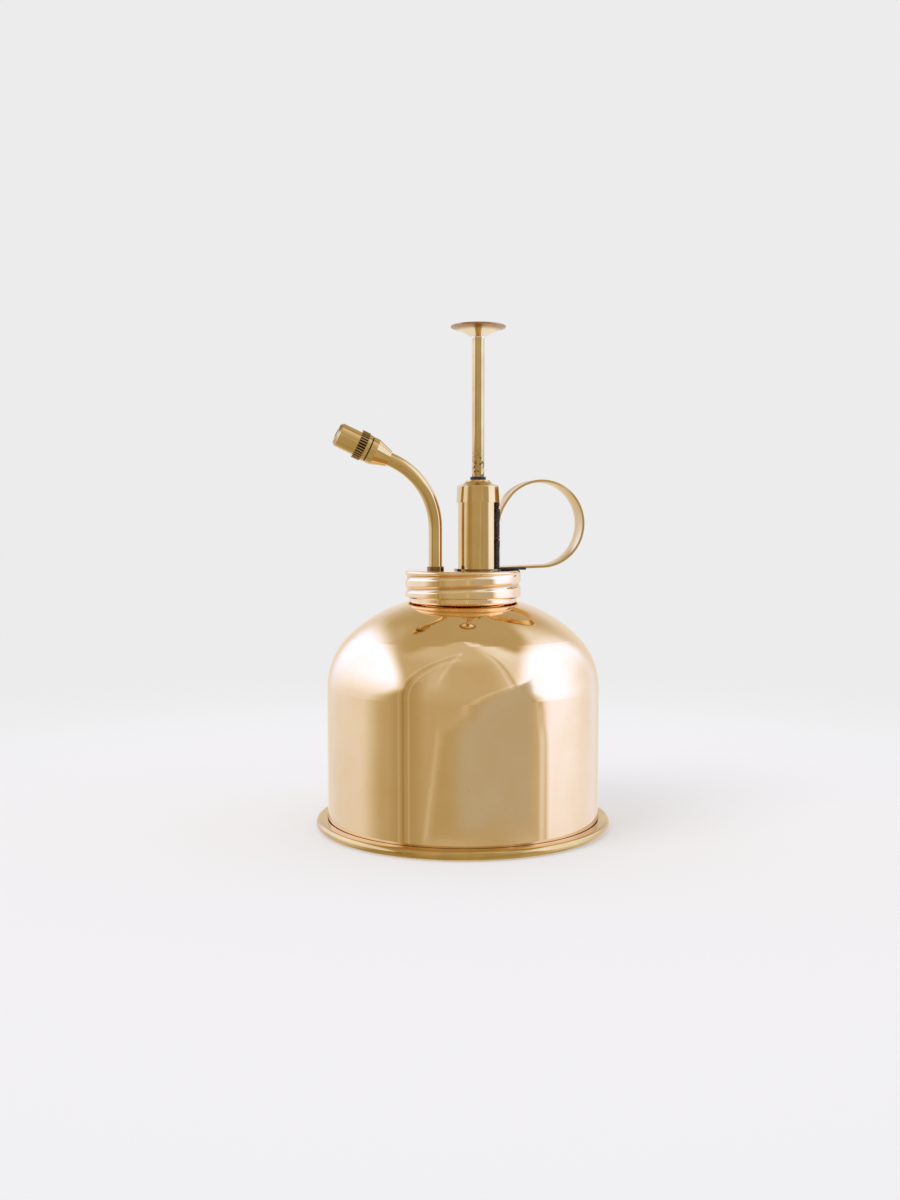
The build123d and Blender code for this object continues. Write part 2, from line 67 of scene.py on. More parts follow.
# Tones of the studio
BACKDROP_TONE = 0.839
AMBIENT_TONE = 0.8
TABLE_TONE = 0.50
TABLE_GLOW = 0.372
TABLE_WARMTH = 0.06

# Its two windows, in degrees from the camera's side: middle, half width, foot and height
LEFT_WINDOW = (-105, 56, 10, 43)
RIGHT_WINDOW = (96, 52, 10, 49)

# Cap: its rolled thread
CAP_SHEET = 0.0009
CAP_EDGE_R = 0.0008
CAP_HEM_ROUND = 0.0004
THREAD_PITCH = 0.0043
THREAD_DEPTH = 0.0007
THREAD_HALF = 0.0013
THREAD_HEM = 0.0012
THREAD_START_ANGLE = radians(-102)
VENT_R = 0.0006
VENT_Y = 0.0105
BORE_GAP = 0.00002

# Springs
RETURN_WIRE_R = 0.0004
RETURN_TURNS = 15
OUTLET_WIRE_R = 0.00015
OUTLET_TURNS = 4
CLOSED_ENDS = 0.35

# Solder along the finger loop, near black as painted shade
SOLDER_R = 0.0008
SOLDER_WOBBLE = 0.0001
SOLDER_FOOT_LENGTH = 0.009
STRAP_SHEET = 0.0008

# Knurled ring of the nozzle cap, along the nozzle's axis from the joint
KNURL_START = 0.0091
KNURL_END = 0.0119
KNURL_FLOOR_R = 0.00478
KNURL_TOP_R = 0.00502

# Front edge of the nozzle cap, along the same axis
NOZZLE_FRONT = 0.0193

# Dark ring in the gap behind the nozzle cap, along the same axis
GAP_START = 0.0074
GAP_END = 0.00785
GAP_R = 0.00435
SPIGOT_R = 0.0034

# Brass, each as bright and dull patches, and the darker marks on it, some of them painted shade
BODY_BRASS = ((0.905, 0.615, 0.295, 1.0), (0.88, 0.58, 0.26, 1.0))
HEAD_BRASS = ((0.72, 0.465, 0.162, 1.0), (0.65, 0.405, 0.132, 1.0))
# Rod: darker brass as painted shade, standing in for the dark reflection down the rod
ROD_BRASS_PAINTED_SHADE = ((0.74, 0.49, 0.19, 1.0), (0.60, 0.38, 0.13, 1.0))
# Button: paler brass as a painted reflection of the pale table under it
KNOB_BRASS_PAINTED_REFLECTION = ((0.93, 0.80, 0.60, 1.0), (0.90, 0.74, 0.50, 1.0))
PAN_BRASS = ((0.68, 0.42, 0.13, 1.0), (0.58, 0.35, 0.10, 1.0))
BROWN_BRASS = ((0.36, 0.20, 0.07, 1.0), (0.18, 0.09, 0.03, 1.0))
# Near black of the darker marks: water marks on the rod, darkening in hollows, painted shade on the
# nozzle's front edge
MARKS_AND_PAINTED_SHADE = (0.04, 0.014, 0.004, 1.0)
# Brown that colours the button's top
KNOB_TOP_BROWN = (0.42, 0.20, 0.06, 1.0)
EDGE_TINT = (1.0, 0.98, 0.94, 1.0)


def add(tree, kind, **settings):
    """A new node with its settings made."""
    node = tree.nodes.new(kind)
    for name, value in settings.items():
        setattr(node, name, value)
    return node


def feed(tree, socket, value):
    """Links a socket to another node's output, or sets it to a plain value."""
    if isinstance(value, bpy.types.NodeSocket):
        tree.links.new(value, socket)
    else:
        socket.default_value = value


def math(tree, operation, *values):
    node = add(tree, "ShaderNodeMath", operation=operation)
    for socket, value in zip(node.inputs, values):
        feed(tree, socket, value)
    return node.outputs[0]


def ramp(tree, value, low, high, start=0.0, end=1.0):
    """A soft step: start below low, end above high."""
    node = add(tree, "ShaderNodeMapRange", interpolation_type="SMOOTHSTEP")
    for name, number in (("From Min", low), ("From Max", high), ("To Min", start), ("To Max", end)):
        feed(tree, node.inputs[name], number)
    feed(tree, node.inputs["Value"], value)
    return node.outputs["Result"]


def window(tree, value, low, high, soft):
    """1 between low and high, falling softly to 0 outside."""
    rise = ramp(tree, value, low - soft, low + soft)
    fall = ramp(tree, value, high - soft, high + soft, 1.0, 0.0)
    return math(tree, "MULTIPLY", rise, fall)


def patch(tree, azimuth, elevation, sides, heights, soft):
    """1 in a patch of the studio's directions, in degrees."""
    across = window(tree, azimuth, *sides, soft)
    return math(tree, "MULTIPLY", across, window(tree, elevation, *heights, soft))


def arch(tree, azimuth, elevation, middle, half_width, foot, height):
    """Distance from the middle of an arch that stands on foot: 1 on its outline."""
    across = math(tree, "DIVIDE", math(tree, "SUBTRACT", azimuth, middle), half_width)
    above = math(tree, "MAXIMUM", math(tree, "SUBTRACT", elevation, foot), 0.0)
    upwards = math(tree, "DIVIDE", above, height)
    squares = math(
        tree, "ADD", math(tree, "MULTIPLY", across, across), math(tree, "MULTIPLY", upwards, upwards)
    )
    return math(tree, "SQRT", squares)


def blend_value(tree, share, first, second):
    node = add(tree, "ShaderNodeMix", data_type="FLOAT")
    feed(tree, node.inputs[0], share)
    feed(tree, node.inputs[2], first)
    feed(tree, node.inputs[3], second)
    return node.outputs[0]


def blend_colour(tree, share, first, second):
    node = add(tree, "ShaderNodeMix", data_type="RGBA")
    feed(tree, node.inputs["Factor"], share)
    feed(tree, node.inputs[6], first)
    feed(tree, node.inputs[7], second)
    return node.outputs[2]


def noise(tree, place, scale, detail=2.0, stretch=(1.0, 1.0, 1.0)):
    """Noise from 0 to 1. A larger stretch makes it finer along that axis."""
    mapping = add(tree, "ShaderNodeMapping")
    feed(tree, mapping.inputs["Vector"], place)
    feed(tree, mapping.inputs["Scale"], stretch)
    node = add(tree, "ShaderNodeTexNoise")
    feed(tree, node.inputs["Vector"], mapping.outputs[0])
    feed(tree, node.inputs["Scale"], scale)
    feed(tree, node.inputs["Detail"], detail)
    return node.outputs["Fac"]


def bump(tree, height, distance, normal=None):
    node = add(tree, "ShaderNodeBump")
    feed(tree, node.inputs["Height"], height)
    feed(tree, node.inputs["Distance"], distance)
    if normal is not None:
        feed(tree, node.inputs["Normal"], normal)
    return node.outputs[0]


def grey(tone, warmth=0.0):
    return (tone * (1 + warmth), tone, tone * (1 - warmth), 1.0)


def thin_line(tree, distance, place, half_width):
    """1 on a thin soft line where distance has the value place."""
    return window(tree, distance, place - half_width, place + half_width, half_width)


def screen_depth(tree, azimuth, elevation):
    """How far inside the leaning screen a direction lies, in degrees across it."""
    low_top = math(tree, "MULTIPLY_ADD", azimuth, 0.045, -8.9)
    low_top = math(tree, "MULTIPLY", math(tree, "SUBTRACT", low_top, elevation), 14.0)
    high_top = math(tree, "SUBTRACT", math(tree, "MULTIPLY_ADD", azimuth, 0.75, -12.9), elevation)
    top = math(tree, "MAXIMUM", low_top, high_top)
    side = math(tree, "SUBTRACT", math(tree, "MULTIPLY_ADD", elevation, -2.35, azimuth), 5.8)
    foot = math(tree, "MULTIPLY", math(tree, "ADD", elevation, 14.5), 14.0)
    right = math(tree, "SUBTRACT", 66.0, azimuth)
    inside = math(tree, "MINIMUM", top, side)
    return math(tree, "MINIMUM", inside, math(tree, "MINIMUM", foot, right))


def room_tone(tree, azimuth, elevation, screen):
    """The room without its windows: dim in front, with a door frame and a leaning screen."""
    aside = math(tree, "ABSOLUTE", azimuth)
    tone = ramp(tree, elevation, -15, 5, 0.50, 0.57)
    tone = math(tree, "ADD", tone, ramp(tree, elevation, 45, 65, 0.0, 0.10))
    right_rise = ramp(tree, elevation, -6, 12, 0.13, 0.40)
    tone = math(tree, "MULTIPLY_ADD", ramp(tree, azimuth, 24, 60), right_rise, tone)
    dark_left = math(tree, "MULTIPLY", window(tree, azimuth, -60, -36, 8), ramp(tree, elevation, 34, 14))
    tone = blend_value(tree, dark_left, tone, 0.40)
    bright_left = patch(tree, azimuth, elevation, (-30, -18), (12, 56), 7)
    tone = math(tree, "MULTIPLY_ADD", bright_left, 0.10, tone)
    tone = math(tree, "MULTIPLY_ADD", ramp(tree, screen, 0.0, 4.0), -0.05, tone)
    tone = math(tree, "MULTIPLY_ADD", thin_line(tree, screen, -3.0, 1.8), 0.12, tone)

    facing_left = ramp(tree, azimuth, -2, 0, 1.0, 0.0)
    frame_line = arch(tree, azimuth, elevation, 0, 50, 0, 66)
    for place, strength in ((0.90, 0.12), (1.0, -0.12), (1.08, 0.12)):
        line = math(tree, "MULTIPLY", thin_line(tree, frame_line, place, 0.016), facing_left)
        tone = math(tree, "MULTIPLY_ADD", line, strength, tone)
    inner = thin_line(tree, arch(tree, azimuth, elevation, 0, 22, 0, 70), 1.0, 0.06)
    inner_left = math(tree, "MULTIPLY", inner, facing_left)
    upper = math(tree, "MULTIPLY", inner_left, ramp(tree, elevation, 15, 35))
    tone = math(tree, "MULTIPLY_ADD", upper, 0.14, tone)

    ceiling = math(tree, "MULTIPLY", ramp(tree, elevation, 50, 60), ramp(tree, aside, 66, 88))
    tone = blend_value(tree, ceiling, tone, 0.46)
    behind = ramp(tree, elevation, 6, 46, 0.95, 0.46)
    return blend_value(tree, ramp(tree, aside, 130, 155), tone, behind)


def studio_colour(tree, azimuth, elevation):
    """What the polished brass mirrors: two tall windows at the sides in a room of soft light."""
    screen = screen_depth(tree, azimuth, elevation)
    tone = room_tone(tree, azimuth, elevation, screen)
    over_floor = ramp(tree, elevation, -48, -24)
    softness = ramp(tree, elevation, -12, 14, 0.55, 0.78)
    lean = ramp(tree, elevation, -12, 14, 22, 0.0)
    left = arch(tree, math(tree, "ADD", azimuth, lean), elevation, *LEFT_WINDOW)
    left_light = ramp(tree, elevation, -18, 25, 0.88, 1.62)
    share = math(tree, "MULTIPLY", ramp(tree, left, softness, 1.06, 1.0, 0.0), over_floor)
    tone = blend_value(tree, share, tone, left_light)
    right = arch(tree, math(tree, "SUBTRACT", azimuth, lean), elevation, *RIGHT_WINDOW)
    far = math(tree, "MULTIPLY", ramp(tree, azimuth, 92, 128), ramp(tree, elevation, 28, 6))
    right_light = blend_value(tree, far, ramp(tree, elevation, -16, 0, 1.15, 1.62), 1.08)
    share = math(tree, "MULTIPLY", ramp(tree, right, 0.74, 1.04, 1.0, 0.0), over_floor)
    tone = blend_value(tree, share, tone, right_light)

    # Door post between the screen and the right window, bent over at its top
    above = math(tree, "MAXIMUM", math(tree, "ADD", elevation, 10.0), 0.0)
    bend = math(tree, "EXPONENT", math(tree, "MULTIPLY", above, -0.1))
    post = math(tree, "SUBTRACT", azimuth, math(tree, "MULTIPLY_ADD", bend, 29.0, 43.0))
    for place, strength in ((-5.0, 0.12), (0.0, -0.22), (5.0, 0.08)):
        line = math(tree, "MULTIPLY", thin_line(tree, post, place, 1.3), ramp(tree, elevation, 72, 60))
        tone = math(tree, "MULTIPLY_ADD", line, strength, tone)

    # Daylight is cool and the dim room is warm
    colour = add(tree, "ShaderNodeCombineXYZ")
    for socket, strength, power in zip(colour.inputs, (0.90, 1.02, 1.45), (0.72, 1.0, 1.8)):
        feed(tree, socket, math(tree, "MULTIPLY", math(tree, "POWER", tone, power), strength))
    cool = math(tree, "MULTIPLY", ramp(tree, screen, 0.0, 10.0), window(tree, azimuth, -4, 62, 10))
    colour = blend_colour(tree, cool, colour.outputs[0], (0.535, 0.55, 0.59, 1.0))
    behind = ramp(tree, math(tree, "ABSOLUTE", azimuth), 138, 160)
    behind = math(tree, "MULTIPLY", behind, ramp(tree, elevation, 30, 6))
    return blend_colour(tree, behind, colour, grey(0.88))


def build_studio():
    world = bpy.data.worlds.new("studio")
    world.use_nodes = True
    scene.world = world
    tree = world.node_tree
    tree.nodes.clear()
    direction = add(tree, "ShaderNodeTexCoord").outputs["Generated"]
    turned = add(tree, "ShaderNodeVectorRotate", rotation_type="Z_AXIS")
    feed(tree, turned.inputs["Vector"], direction)
    feed(tree, turned.inputs["Angle"], -CAMERA_AZIMUTH)
    split = add(tree, "ShaderNodeSeparateXYZ")
    feed(tree, split.inputs[0], turned.outputs[0])
    right, back, up = split.outputs
    azimuth = math(tree, "DEGREES", math(tree, "ARCTAN2", right, math(tree, "MULTIPLY", back, -1.0)))
    elevation = math(tree, "DEGREES", math(tree, "ARCSINE", up))
    rays = add(tree, "ShaderNodeLightPath")
    colour = studio_colour(tree, azimuth, elevation)
    colour = blend_colour(tree, rays.outputs["Is Diffuse Ray"], colour, grey(AMBIENT_TONE))
    colour = blend_colour(tree, rays.outputs["Is Camera Ray"], colour, grey(BACKDROP_TONE))
    background = add(tree, "ShaderNodeBackground")
    feed(tree, background.inputs["Color"], colour)
    output = add(tree, "ShaderNodeOutputWorld")
    tree.links.new(background.outputs[0], output.inputs["Surface"])


def build_floor():
    """Pale table that fades into the backdrop. Only its soft shadow marks it."""
    mesh = bpy.data.meshes.new("floor")
    reach = 6.0
    corners = [(-reach, -reach, 0), (reach, -reach, 0), (reach, reach, 0), (-reach, reach, 0)]
    mesh.from_pydata(corners, [], [(0, 1, 2, 3)])
    floor = bpy.data.objects.new("floor", mesh)
    scene.collection.objects.link(floor)
    floor.location.z = -0.0001
    floor.visible_glossy = False
    material = bpy.data.materials.new("pale_table")
    material.use_nodes = True
    tree = material.node_tree
    tree.nodes.clear()
    place = add(tree, "ShaderNodeTexCoord").outputs["Object"]
    far = add(tree, "ShaderNodeVectorMath", operation="LENGTH")
    feed(tree, far.inputs[0], place)
    fade = ramp(tree, far.outputs["Value"], 0.16, 0.45)
    matt = add(tree, "ShaderNodeBsdfDiffuse")
    feed(tree, matt.inputs["Color"], grey(TABLE_TONE))
    glow = add(tree, "ShaderNodeEmission")
    feed(tree, glow.inputs["Color"], grey(TABLE_GLOW, TABLE_WARMTH))
    table = add(tree, "ShaderNodeAddShader")
    tree.links.new(matt.outputs[0], table.inputs[0])
    tree.links.new(glow.outputs[0], table.inputs[1])
    backdrop = add(tree, "ShaderNodeEmission")
    feed(tree, backdrop.inputs["Color"], grey(BACKDROP_TONE))
    mix = add(tree, "ShaderNodeMixShader")
    feed(tree, mix.inputs[0], fade)
    tree.links.new(table.outputs[0], mix.inputs[1])
    tree.links.new(backdrop.outputs[0], mix.inputs[2])
    output = add(tree, "ShaderNodeOutputMaterial")
    tree.links.new(mix.outputs[0], output.inputs["Surface"])
    mesh.materials.append(material)


def build_lamp():
    """Broad lamp from the front left, for the soft shadow to the right."""
    light = bpy.data.lights.new("soft_sun", "SUN")
    light.energy = 0.9
    light.angle = radians(35)
    lamp = bpy.data.objects.new("soft_sun", light)
    scene.collection.objects.link(lamp)
    lamp.visible_glossy = False
    way = Vector((0.8, 0.35, -0.75))
    lamp.rotation_euler = way.to_track_quat("-Z", "Y").to_euler()


def build_camera():
    data = bpy.data.cameras.new("camera")
    data.lens = CAMERA_LENS
    data.clip_start = 0.01
    camera = bpy.data.objects.new("camera", data)
    scene.collection.objects.link(camera)
    side = Vector((cos(CAMERA_AZIMUTH), sin(CAMERA_AZIMUTH), 0))
    back = Vector((sin(CAMERA_AZIMUTH), -cos(CAMERA_AZIMUTH), 0))
    camera.location = back * CAMERA_DISTANCE + Vector((0, 0, CAMERA_HEIGHT))
    aim = side * -CAMERA_AIM_LEFT + Vector((0, 0, CAMERA_AIM_HEIGHT))
    camera.rotation_euler = (aim - camera.location).to_track_quat("-Z", "Y").to_euler()
    scene.camera = camera


def new_look(name, metallic):
    """A material with its node tree, its shader and the place on the object."""
    material = bpy.data.materials.new(name)
    material.use_nodes = True
    tree = material.node_tree
    shader = tree.nodes["Principled BSDF"]
    shader.inputs["Metallic"].default_value = metallic
    return material, tree, shader, add(tree, "ShaderNodeTexCoord").outputs["Object"]


nozzle_joint = joints["nozzle_turn"]
nozzle_tilt = atan2(-nozzle_joint["axis"][0], nozzle_joint["axis"][2])


def nozzle_place(tree, place):
    """The place with Z along the nozzle, counted from its joint."""
    moved = add(tree, "ShaderNodeVectorMath", operation="SUBTRACT")
    feed(tree, moved.inputs[0], place)
    feed(tree, moved.inputs[1], nozzle_joint["pos_m"])
    turned = add(tree, "ShaderNodeVectorRotate", rotation_type="Y_AXIS")
    feed(tree, turned.inputs["Vector"], moved.outputs[0])
    feed(tree, turned.inputs["Angle"], nozzle_tilt)
    return turned.outputs[0]


def place_parts(tree, place):
    """A place's three numbers: across, back and up."""
    split = add(tree, "ShaderNodeSeparateXYZ")
    feed(tree, split.inputs[0], place)
    return split.outputs


def from_axis(tree, across, back):
    """Distance from the Z axis."""
    back_square = math(tree, "MULTIPLY", back, back)
    return math(tree, "SQRT", math(tree, "MULTIPLY_ADD", across, across, back_square))


def wall_foot_dark_line(tree, place):
    """Darker at the joint between the wall and the rolled bead."""
    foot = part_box("body_shell")[0][2]
    up = place_parts(tree, place)[2]
    return math(tree, "MULTIPLY", window(tree, up, foot - 0.001, foot + 0.0007, 0.0004), 0.75)


def thread_valley_darkening(tree, place):
    """Darker in the valleys of the cap's thread."""
    across, back, up = place_parts(tree, place)
    low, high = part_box("pump_cap")
    valley = (high[0] - low[0]) / 2 - THREAD_DEPTH
    depth = ramp(tree, from_axis(tree, across, back), valley, valley + 0.0003, 0.3, 0.0)
    return math(tree, "MULTIPLY", depth, window(tree, up, low[2], high[2] - 0.001, 0.0004))


def rod_tarnish(tree, place):
    """Water marks all round the rod's end above the gland."""
    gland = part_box("gland_seal")[1][2]
    up = place_parts(tree, place)[2]
    spots = ramp(tree, noise(tree, place, 900, 3.0), 0.50, 0.62)
    return math(tree, "MULTIPLY", spots, ramp(tree, up, gland + 0.004, gland + 0.011, 0.8, 0.0))


def knurl_darkening_and_painted_front_shade(tree, place):
    """Darker in the knurl's grooves, and a brown front edge that is painted shade."""
    across, back, up = place_parts(tree, place)
    ring = window(tree, up, KNURL_START, KNURL_END, 0.00005)
    groove = ramp(tree, from_axis(tree, across, back), KNURL_FLOOR_R, KNURL_TOP_R, 1.0, 0.45)
    # Painted shade: the front edge browns, standing in for the dim reflection in the nozzle's front face
    front = ramp(tree, up, NOZZLE_FRONT - 0.0008, NOZZLE_FRONT, 0.0, 0.35)
    return math(tree, "MAXIMUM", front, math(tree, "MULTIPLY", ring, groove))


def knob_brown_top(tree, place):
    """The button's brown top."""
    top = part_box("thumb_knob")[1][2]
    up = place_parts(tree, place)[2]
    return ramp(tree, up, top - 0.0024, top - 0.0014, 0.0, 0.9)


def polished_brass(name, tints, marks_and_painted_shade_of=None, on_nozzle=False, marks_and_shade_colour=MARKS_AND_PAINTED_SHADE):
    """Buffed brass: fine marks round the axis, faint waves, smudges, specks, and darker marks, some of
    them painted shade.
    """
    material, tree, shader, place = new_look(name, 1.0)
    shader.inputs["Specular Tint"].default_value = EDGE_TINT
    if on_nozzle:
        place = nozzle_place(tree, place)
    marks = noise(tree, place, 60, 3.0, (1.0, 1.0, 60.0))
    waves = noise(tree, place, 35, 1.0, (1.0, 1.0, 4.0))
    smudges = noise(tree, place, 70, 4.0)
    specks = noise(tree, place, 2600, 2.0)
    colour = blend_colour(tree, ramp(tree, smudges, 0.35, 0.7), *tints)
    colour = blend_colour(tree, ramp(tree, specks, 0.70, 0.76), colour, (0.62, 0.36, 0.13, 1.0))
    roughness = ramp(tree, smudges, 0.40, 0.75, 0.035, 0.085)
    if marks_and_painted_shade_of:
        patchy = ramp(tree, noise(tree, place, 700, 3.0), 0.25, 0.5, 0.85, 1.0)
        # Darker marks from the mask; on the nozzle's front edge these are painted shade
        marks_and_painted_shade = math(tree, "MULTIPLY", marks_and_painted_shade_of(tree, place), patchy)
        colour = blend_colour(tree, marks_and_painted_shade, colour, marks_and_shade_colour)
        roughness = blend_value(tree, marks_and_painted_shade, roughness, 0.3)
    feed(tree, shader.inputs["Base Color"], colour)
    feed(tree, shader.inputs["Roughness"], roughness)
    relief = bump(tree, waves, 0.00002)
    feed(tree, shader.inputs["Normal"], bump(tree, marks, 0.000001, relief))
    return material


def turned_brass():
    """Satin brass with the tool marks of the lathe and dull patches from the water."""
    material, tree, shader, place = new_look("turned_brass_look", 1.0)
    marks = noise(tree, place, 90, 2.0, (1.0, 1.0, 45.0))
    dull = noise(tree, place, 160, 5.0)
    colour = blend_colour(
        tree, ramp(tree, dull, 0.35, 0.7), (0.78, 0.57, 0.28, 1.0), (0.50, 0.31, 0.12, 1.0)
    )
    feed(tree, shader.inputs["Base Color"], colour)
    feed(tree, shader.inputs["Roughness"], ramp(tree, dull, 0.3, 0.7, 0.22, 0.42))
    feed(tree, shader.inputs["Normal"], bump(tree, marks, 0.00001))
    return material


def black_rubber():
    material, tree, shader, place = new_look("black_rubber_look", 0.0)
    dust = noise(tree, place, 900, 4.0)
    grain = noise(tree, place, 5000, 2.0)
    colour = blend_colour(
        tree, ramp(tree, dust, 0.45, 0.75), (0.012, 0.011, 0.010, 1.0), (0.045, 0.040, 0.034, 1.0)
    )
    feed(tree, shader.inputs["Base Color"], colour)
    feed(tree, shader.inputs["Roughness"], ramp(tree, dust, 0.3, 0.7, 0.42, 0.65))
    feed(tree, shader.inputs["Normal"], bump(tree, grain, 0.00002))
    return material


def oiled_leather():
    material, tree, shader, place = new_look("oiled_leather_look", 0.0)
    grain = add(tree, "ShaderNodeTexVoronoi", feature="DISTANCE_TO_EDGE")
    feed(tree, grain.inputs["Vector"], place)
    feed(tree, grain.inputs["Scale"], 2200)
    stains = noise(tree, place, 300, 4.0)
    colour = blend_colour(
        tree, ramp(tree, stains, 0.35, 0.7), (0.20, 0.095, 0.040, 1.0), (0.085, 0.040, 0.018, 1.0)
    )
    feed(tree, shader.inputs["Base Color"], colour)
    feed(tree, shader.inputs["Roughness"], ramp(tree, stains, 0.3, 0.7, 0.38, 0.6))
    creases = ramp(tree, grain.outputs["Distance"], 0.0, 0.12)
    feed(tree, shader.inputs["Normal"], bump(tree, creases, 0.00004))
    return material


def stainless_steel():
    """Drawn wire and rolled sheet: fine lines and slight water spots."""
    material, tree, shader, place = new_look("stainless_steel_look", 1.0)
    lines = noise(tree, place, 900, 2.0, (1.0, 1.0, 8.0))
    spots = noise(tree, place, 420, 4.0)
    colour = blend_colour(
        tree, ramp(tree, spots, 0.4, 0.75), (0.62, 0.61, 0.60, 1.0), (0.46, 0.44, 0.42, 1.0)
    )
    feed(tree, shader.inputs["Base Color"], colour)
    feed(tree, shader.inputs["Roughness"], ramp(tree, spots, 0.3, 0.7, 0.2, 0.36))
    feed(tree, shader.inputs["Normal"], bump(tree, lines, 0.000004))
    return material


def solder_and_painted_shade():
    """Solder and burnt flux in the loop's joints, near black as painted shade beside the leg and painted
    shadow under its foot.
    """
    material, tree, shader, place = new_look("dark_solder_look", 0.0)
    crust = noise(tree, place, 1600, 5.0)
    colour = blend_colour(
        tree, ramp(tree, crust, 0.45, 0.75), (0.018, 0.012, 0.008, 1.0), (0.10, 0.065, 0.035, 1.0)
    )
    feed(tree, shader.inputs["Base Color"], colour)
    feed(tree, shader.inputs["Roughness"], ramp(tree, crust, 0.3, 0.7, 0.35, 0.7))
    feed(tree, shader.inputs["Normal"], bump(tree, crust, 0.00008))
    return material


def new_piece(name, points, faces, material, body):
    """A smooth mesh that rides on a body."""
    mesh = bpy.data.meshes.new(name)
    mesh.from_pydata(points, [], faces)
    mesh.shade_smooth()
    mesh.materials.append(material)
    piece = bpy.data.objects.new(name, mesh)
    scene.collection.objects.link(piece)
    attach(piece, body)
    return piece


def grid_faces(rows, columns, closed_rows=False):
    """Quads between rings of points, each ring closed on itself."""
    faces = []
    for row in range(rows if closed_rows else rows - 1):
        low = row * columns
        high = (row + 1) % rows * columns
        for column in range(columns):
            beside = (column + 1) % columns
            faces.append((low + column, low + beside, high + beside, high + column))
    return faces


def swept_tube(line, radius, sides):
    """Points and faces of a round tube along a line, closed at both ends."""
    points = []
    for index, middle in enumerate(line):
        before = line[max(index - 1, 0)]
        after = line[min(index + 1, len(line) - 1)]
        turn = (after - before).to_track_quat("Z", "Y")
        for side in range(sides):
            angle = 2 * pi * side / sides
            points.append(middle + turn @ Vector((radius * cos(angle), radius * sin(angle), 0)))
    faces = grid_faces(len(line), sides)
    last = (len(line) - 1) * sides
    faces.append(tuple(reversed(range(sides))))
    faces.append(tuple(range(last, last + sides)))
    return points, faces


def build_spring(name, node, wire_r, turns, material):
    """A coil in place of the CAD one, with closed ends, riding on the pump head."""
    low, high = (Vector(corner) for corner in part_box(node))
    middle = (low + high) / 2
    radius = (high.x - low.x) / 2 - wire_r
    steps = turns * 32
    line = []
    for step in range(steps + 1):
        share = step / steps
        rise = share - sin(2 * pi * share) / (2 * pi) * CLOSED_ENDS
        angle = 2 * pi * turns * share
        height = low.z + wire_r + rise * (high.z - low.z - 2 * wire_r)
        line.append(Vector((middle.x + radius * cos(angle), middle.y + radius * sin(angle), height)))
    points, faces = swept_tube(line, wire_r, 10)
    piece = new_piece(name, points, faces, material, "pump_head")
    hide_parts(node)
    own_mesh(piece)


def thread_offset(height, angle, low, high):
    """How far the cap's rolled thread is pressed in at a height and an angle, a right-hand helix."""
    first = low + THREAD_HEM + THREAD_PITCH / 2
    turns_above = (height - first) / THREAD_PITCH - (angle - THREAD_START_ANGLE) / (2 * pi)
    distance = abs(turns_above - round(turns_above)) * THREAD_PITCH
    valley = (1 + cos(pi * min(distance / THREAD_HALF, 1.0))) / 2
    room = min(height - low - THREAD_HEM, high - CAP_EDGE_R - height)
    fade = min(max(room / 0.001, 0.0), 1.0)
    return THREAD_DEPTH * valley * fade


def cap_profile(radius, low, high, edge_r, hem_r, shrink=0.0):
    """Radius and height of the cap's outside, from the middle of the top to the hem."""
    profile = [(radius * share, high) for share in (0.001, 0.25, 0.5, 0.7, 0.85)]
    for step in range(9):
        angle = pi / 2 * (1 - step / 8)
        profile.append((radius - edge_r + edge_r * cos(angle), high - edge_r + edge_r * sin(angle)))
    side_top, side_low = high - edge_r, low + hem_r
    count = 56
    for step in range(1, count):
        profile.append((radius, side_top + (side_low - side_top) * step / count))
    for step in range(5):
        angle = pi / 2 * step / 4
        profile.append((radius - hem_r + hem_r * cos(angle), side_low - (hem_r - shrink) * sin(angle)))
    return profile


def cut_bores(piece, bores, low, high):
    """Cuts upright round holes, each given by its radius and its place."""
    for number, (radius, x, y) in enumerate(bores):
        line = [Vector((x, y, low)), Vector((x, y, high))]
        mesh = bpy.data.meshes.new(f"bore_{number}")
        points, faces = swept_tube(line, radius, 96)
        mesh.from_pydata(points, [], faces)
        cutter = bpy.data.objects.new(f"bore_{number}", mesh)
        scene.collection.objects.link(cutter)
        cut = piece.modifiers.new("bore", "BOOLEAN")
        cut.operation = "DIFFERENCE"
        cut.solver = "EXACT"
        cut.object = cutter
        bpy.context.view_layer.update()
        whole = piece.evaluated_get(bpy.context.evaluated_depsgraph_get())
        done = bpy.data.meshes.new_from_object(whole)
        piece.modifiers.clear()
        piece.data = done
        bpy.data.objects.remove(cutter)


